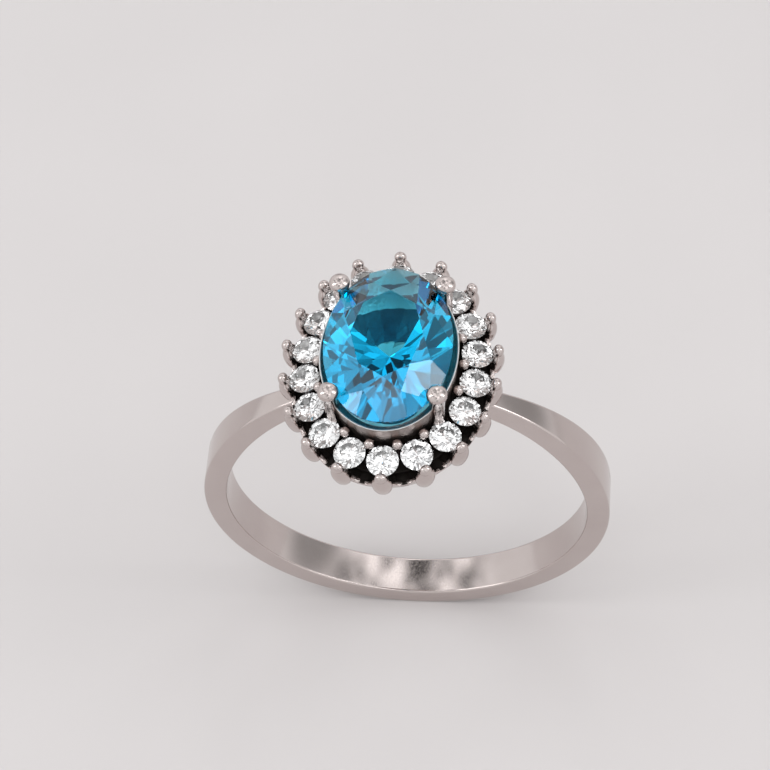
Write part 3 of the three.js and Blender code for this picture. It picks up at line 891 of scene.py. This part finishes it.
studio = {
    "softboxes": [
        {"name": "left softbox", "place": (-110, -20, 105), "aim": (0, 0, 8),
         "size": (26, 90), "power": 0.030},
        {"name": "right softbox", "place": (112, 0, 100), "aim": (0, 0, 8),
         "size": (26, 90), "power": 0.030},
    ],
    "sky": "#FFFFFF", "skyStrength": 0.92,
    # the sky is uneven, like a room: patches about 1 / scale radians wide, from least to most light
    # as their noise goes from dim to bright, and fading in between two heights above the horizon
    "patches": {"scale": 5.5, "shift": (0.3, 2.4, 0.0), "least": 0.25, "most": 1.90,
                "dim": 0.36, "bright": 0.64, "fadeFrom": 0.45, "fadeTo": 0.72},
    # cards and lamps in the sky: where they stand, how wide they are, and how much light they leave
    "cards": [
        {"towards": (0.76, 0.54, 0.30), "near": 0.14, "far": 0.40, "left": 0.42},
        {"towards": (0.12, -0.95, 0.25), "near": 0.06, "far": 0.22, "left": 0.15},
        {"towards": (0.10, -0.30, 0.95), "near": 0.12, "far": 0.50, "left": 1.40},
        {"towards": (-0.05, 0.86, 0.50), "near": 0.14, "far": 0.36, "left": 1.25},
        {"towards": (-0.15, 0.98, 0.12), "near": 0.12, "far": 0.34, "left": 0.50},
        {"towards": (-0.10, 0.53, 0.84), "near": 0.07, "far": 0.16, "left": 0.08},
    ],
}


def aimed(place, aim):
    direction = Vector(aim) - Vector(place)
    return Matrix.Translation(Vector(place) * mm) @ direction.to_track_quat("-Z", "Y").to_matrix().to_4x4()


for box in studio["softboxes"]:
    lamp = bpy.data.lights.new(box["name"], "AREA")
    lamp.shape = "RECTANGLE"
    lamp.size, lamp.size_y = (side * mm for side in box["size"])
    lamp.energy = box["power"]
    holder = bpy.data.objects.new(box["name"], lamp)
    holder.matrix_world = aimed(box["place"], box["aim"])
    scene.collection.objects.link(holder)


def softSky():
    world = bpy.data.worlds.new("studio")
    world.use_nodes = True
    tree = world.node_tree
    tree.nodes.clear()
    direction = addNode(tree, "ShaderNodeTexCoord").outputs["Generated"]
    patches = studio["patches"]
    shifted = addNode(tree, "ShaderNodeMapping", inputs={"Vector": direction, "Location": patches["shift"]})
    clouds = addNode(tree, "ShaderNodeTexNoise", inputs={
        "Vector": shifted.outputs[0], "Scale": patches["scale"], "Detail": 1})
    contrast = addNode(tree, "ShaderNodeMapRange", inputs={
        "Value": clouds.outputs["Fac"], "From Min": patches["dim"], "From Max": patches["bright"],
        "To Min": patches["least"], "To Max": patches["most"]})
    # only the upper sky is uneven: nearer the horizon it evens out
    height = addNode(tree, "ShaderNodeSeparateXYZ", inputs={"Vector": direction})
    upper = addNode(tree, "ShaderNodeMapRange", {"interpolation_type": "SMOOTHSTEP"}, {
        "Value": height.outputs["Z"], "From Min": patches["fadeFrom"], "From Max": patches["fadeTo"]})
    uneven = addNode(tree, "ShaderNodeMix", inputs={
        "Factor": upper.outputs[0], "A": 1.0, "B": contrast.outputs[0]})
    light = addNode(tree, "ShaderNodeMath", {"operation": "MULTIPLY"}, {
        0: uneven.outputs[0], 1: studio["skyStrength"]}).outputs[0]
    for card in studio["cards"]:
        away = addNode(tree, "ShaderNodeVectorMath", {"operation": "DISTANCE"}, {
            0: direction, 1: Vector(card["towards"]).normalized()})
        shade = addNode(tree, "ShaderNodeMapRange", {"interpolation_type": "SMOOTHSTEP"}, {
            "Value": away.outputs["Value"], "From Min": card["near"], "From Max": card["far"],
            "To Min": card["left"], "To Max": 1.0})
        light = addNode(tree, "ShaderNodeMath", {"operation": "MULTIPLY"}, {
            0: shade.outputs[0], 1: light}).outputs[0]
    background = addNode(tree, "ShaderNodeBackground", inputs={
        "Color": linearColour(studio["sky"]), "Strength": light})
    addNode(tree, "ShaderNodeOutputWorld", inputs={"Surface": background.outputs[0]})
    return world


scene.world = softSky()

view = {
    "azimuth": 11.035, "elevation": 57.268, "roll": -7.846,  # degrees
    "aim": (-0.7, 1.6, 7.1), "distance": 109.95, "nearest": 5, "lens": 110.2,
}
cameraData = bpy.data.cameras.new("camera")
cameraData.lens = view["lens"]
cameraData.clip_start = view["nearest"] * mm
camera = bpy.data.objects.new("camera", cameraData)
azimuth, elevation = math.radians(view["azimuth"]), math.radians(view["elevation"])
level = math.cos(elevation)
towards = Vector((math.sin(azimuth) * level, -math.cos(azimuth) * level, math.sin(elevation)))
place = Vector(view["aim"]) + towards * view["distance"]
camera.matrix_world = aimed(place, view["aim"]) @ Matrix.Rotation(math.radians(view["roll"]), 4, "Z")
scene.collection.objects.link(camera)
scene.camera = camera

scene.view_settings.view_transform = "Standard"
print("studio set")
